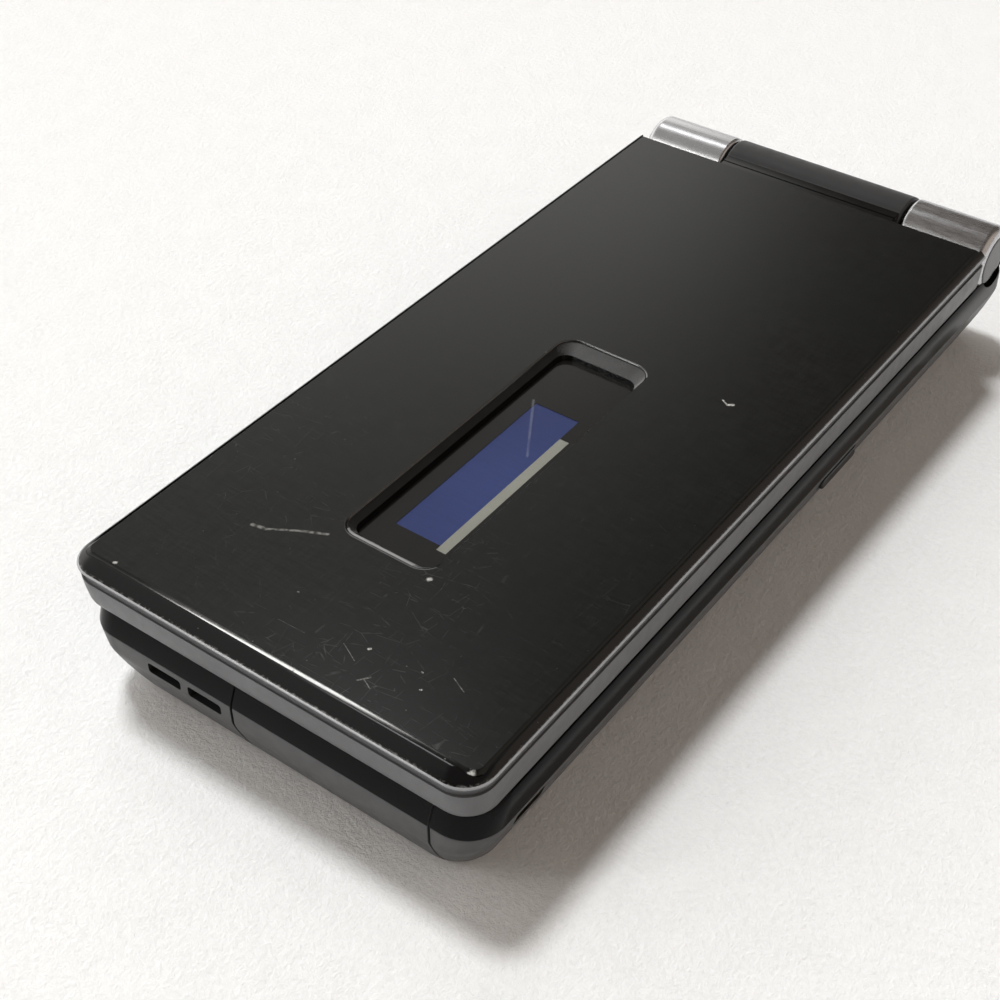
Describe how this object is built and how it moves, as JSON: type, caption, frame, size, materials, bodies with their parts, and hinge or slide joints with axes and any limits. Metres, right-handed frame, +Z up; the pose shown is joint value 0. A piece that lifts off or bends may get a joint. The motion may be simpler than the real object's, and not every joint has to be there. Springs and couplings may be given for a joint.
{
  "type": "flip phone",
  "caption": "Folding mobile phone with a barrel hinge, brushed metal lid with a small outer display, full key deck, port flap and battery cover.",
  "frame": {"origin": "centre of the underside, on the surface that the phone lies on", "axes": "+Y along the phone towards the hinge, +Z up through the lid's metal plate, +X to the right hand side"},
  "size_m": [0.05, 0.112, 0.0172],
  "materials": {
    "gloss_black": "gloss",
    "satin_grey": "satin",
    "plate": "brushed, dark anodised",
    "lens": "clear",
    "display_glass": "gloss",
    "display": "gloss",
    "key_film": "satin gloss",
    "nav_metal": "satin",
    "battery": "label film, bare",
    "board": "solder mask",
    "steel": "satin",
    "gold": "plated",
    "inner_black": "matt",
    "rubber": "matt",
    "film": "clear film"
  },
  "bodies": {
    "base": {"base_front_case": "gloss_black", "base_rear_case": "satin_grey", "battery_pack": "battery", "battery_contacts": "gold", "main_board": "board", "shield_cans": "steel", "key_dome_sheet": "film", "usb_socket": "steel", "microphone": "steel", "loudspeaker": "inner_black", "vibration_motor": "steel", "camera_module": "inner_black", "camera_window": "display_glass", "flash_lens": "film", "card_holder": "steel", "antenna": "gold", "charge_terminals": "gold", "base_screws": "steel", "hinge_cartridge": "steel", "hinge_bush": "steel", "hinge_end_caps": "gloss_black"},
    "lid": {"lid_outer_case": "gloss_black", "lid_top_plate": "plate", "sub_display_window": "lens", "sub_display_module": "display", "lid_inner_case": "satin_grey", "main_display_window": "display_glass", "main_display_module": "display", "earpiece": "inner_black", "lid_board": "board", "bumper_pads": "rubber", "lid_screws": "steel", "hinge_cam_shaft": "steel", "hinge_pin": "steel", "hinge_flex": "gold"},
    "battery_cover": {"battery_cover": "satin_grey"},
    "port_cover": {"port_cover": "satin_grey"},
    "side_key": {"side_key": "gloss_black"},
    "nav_rocker": {"nav_rocker": "inner_black"},
    "nav_ring": {"nav_ring": "nav_metal"},
    "key_1": {"key_1": "key_film"},
    "key_2": {"key_2": "key_film"},
    "key_3": {"key_3": "key_film"},
    "key_4": {"key_4": "key_film"},
    "key_5": {"key_5": "key_film"},
    "key_6": {"key_6": "key_film"},
    "key_7": {"key_7": "key_film"},
    "key_8": {"key_8": "key_film"},
    "key_9": {"key_9": "key_film"},
    "key_star": {"key_star": "key_film"},
    "key_0": {"key_0": "key_film"},
    "key_hash": {"key_hash": "key_film"},
    "key_call": {"key_call": "key_film"},
    "key_clear": {"key_clear": "key_film"},
    "key_end": {"key_end": "key_film"},
    "key_mail": {"key_mail": "key_film"},
    "key_web": {"key_web": "key_film"},
    "key_menu": {"key_menu": "key_film"},
    "key_camera": {"key_camera": "key_film"},
    "nav_centre": {"nav_centre": "key_film"}
  },
  "joints": [
    {"name": "lid_hinge", "type": "hinge", "parent": "base", "child": "lid", "pos_m": [0, 0.0516, 0.01285], "axis": [-1, 0, 0], "range_deg": [0, 160]},
    {"name": "battery_cover_pivot", "type": "hinge", "parent": "base", "child": "battery_cover", "pos_m": [0, 0.023, 0], "axis": [1, 0, 0], "range_deg": [0, 35]},
    {"name": "port_cover_pivot", "type": "hinge", "parent": "base", "child": "port_cover", "pos_m": [0.01805, -0.055, 0.005], "axis": [0, 0, 1], "range_deg": [0, 100]},
    {"name": "side_key_press", "type": "slide", "parent": "base", "child": "side_key", "axis": [-1, 0, 0], "range_m": [0, 0.0004], "stiffness_N_per_m": 800},
    {"name": "nav_left_right", "type": "hinge", "parent": "base", "child": "nav_rocker", "pos_m": [0, 0.0286, 0.0074], "axis": [0, 1, 0], "range_deg": [-1.4, 1.4], "stiffness_Nm_per_rad": 0.2},
    {"name": "nav_up_down", "type": "hinge", "parent": "nav_rocker", "child": "nav_ring", "pos_m": [0, 0.0286, 0.009], "axis": [1, 0, 0], "range_deg": [-1.4, 1.4], "stiffness_Nm_per_rad": 0.2},
    {"name": "key_1_press", "type": "slide", "parent": "base", "child": "key_1", "axis": [0, 0, -1], "range_m": [0, 0.0003], "stiffness_N_per_m": 800},
    {"name": "key_2_press", "type": "slide", "parent": "base", "child": "key_2", "axis": [0, 0, -1], "range_m": [0, 0.0003], "stiffness_N_per_m": 800},
    {"name": "key_3_press", "type": "slide", "parent": "base", "child": "key_3", "axis": [0, 0, -1], "range_m": [0, 0.0003], "stiffness_N_per_m": 800},
    {"name": "key_4_press", "type": "slide", "parent": "base", "child": "key_4", "axis": [0, 0, -1], "range_m": [0, 0.0003], "stiffness_N_per_m": 800},
    {"name": "key_5_press", "type": "slide", "parent": "base", "child": "key_5", "axis": [0, 0, -1], "range_m": [0, 0.0003], "stiffness_N_per_m": 800},
    {"name": "key_6_press", "type": "slide", "parent": "base", "child": "key_6", "axis": [0, 0, -1], "range_m": [0, 0.0003], "stiffness_N_per_m": 800},
    {"name": "key_7_press", "type": "slide", "parent": "base", "child": "key_7", "axis": [0, 0, -1], "range_m": [0, 0.0003], "stiffness_N_per_m": 800},
    {"name": "key_8_press", "type": "slide", "parent": "base", "child": "key_8", "axis": [0, 0, -1], "range_m": [0, 0.0003], "stiffness_N_per_m": 800},
    {"name": "key_9_press", "type": "slide", "parent": "base", "child": "key_9", "axis": [0, 0, -1], "range_m": [0, 0.0003], "stiffness_N_per_m": 800},
    {"name": "key_star_press", "type": "slide", "parent": "base", "child": "key_star", "axis": [0, 0, -1], "range_m": [0, 0.0003], "stiffness_N_per_m": 800},
    {"name": "key_0_press", "type": "slide", "parent": "base", "child": "key_0", "axis": [0, 0, -1], "range_m": [0, 0.0003], "stiffness_N_per_m": 800},
    {"name": "key_hash_press", "type": "slide", "parent": "base", "child": "key_hash", "axis": [0, 0, -1], "range_m": [0, 0.0003], "stiffness_N_per_m": 800},
    {"name": "key_call_press", "type": "slide", "parent": "base", "child": "key_call", "axis": [0, 0, -1], "range_m": [0, 0.0003], "stiffness_N_per_m": 800},
    {"name": "key_clear_press", "type": "slide", "parent": "base", "child": "key_clear", "axis": [0, 0, -1], "range_m": [0, 0.0003], "stiffness_N_per_m": 800},
    {"name": "key_end_press", "type": "slide", "parent": "base", "child": "key_end", "axis": [0, 0, -1], "range_m": [0, 0.0003], "stiffness_N_per_m": 800},
    {"name": "key_mail_press", "type": "slide", "parent": "base", "child": "key_mail", "axis": [0, 0, -1], "range_m": [0, 0.0003], "stiffness_N_per_m": 800},
    {"name": "key_web_press", "type": "slide", "parent": "base", "child": "key_web", "axis": [0, 0, -1], "range_m": [0, 0.0003], "stiffness_N_per_m": 800},
    {"name": "key_menu_press", "type": "slide", "parent": "base", "child": "key_menu", "axis": [0, 0, -1], "range_m": [0, 0.0003], "stiffness_N_per_m": 800},
    {"name": "key_camera_press", "type": "slide", "parent": "base", "child": "key_camera", "axis": [0, 0, -1], "range_m": [0, 0.0003], "stiffness_N_per_m": 800},
    {"name": "nav_centre_press", "type": "slide", "parent": "base", "child": "nav_centre", "axis": [0, 0, -1], "range_m": [0, 0.0003], "stiffness_N_per_m": 800}
  ]
}
